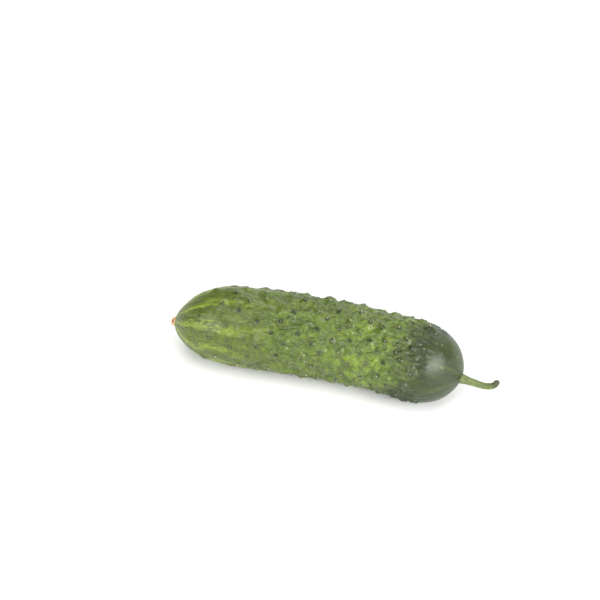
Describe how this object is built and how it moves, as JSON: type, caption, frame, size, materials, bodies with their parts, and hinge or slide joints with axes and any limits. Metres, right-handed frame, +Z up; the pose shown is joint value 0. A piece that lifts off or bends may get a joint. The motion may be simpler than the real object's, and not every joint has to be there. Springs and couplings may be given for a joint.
{
  "type": "cucumber",
  "caption": "Short prickly field cucumber as picked, gently bowed, with warty green skin, a cut stem at one end and a corky flower scar at the other.",
  "frame": {"origin": "under the middle of the whole object's box, on the surface that the cucumber lies on", "axes": "+X along the fruit from the blossom end to the stem end, +Z up, the hollow side of its bow towards -Y"},
  "size_m": [0.154, 0.0408, 0.0365],
  "materials": {
    "skin": "waxy satin cucumber skin, dark green at the stem end, mottled mid green with warts, light green streaks at the blossom end",
    "stem": "ribbed pale yellow-green stem, finely hairy, dull",
    "scar": "dry peach-coloured cork with a brown dimple"
  },
  "bodies": {
    "root": {"fruit": "skin", "stem": "stem", "blossom_scar": "scar"}
  },
  "joints": []
}
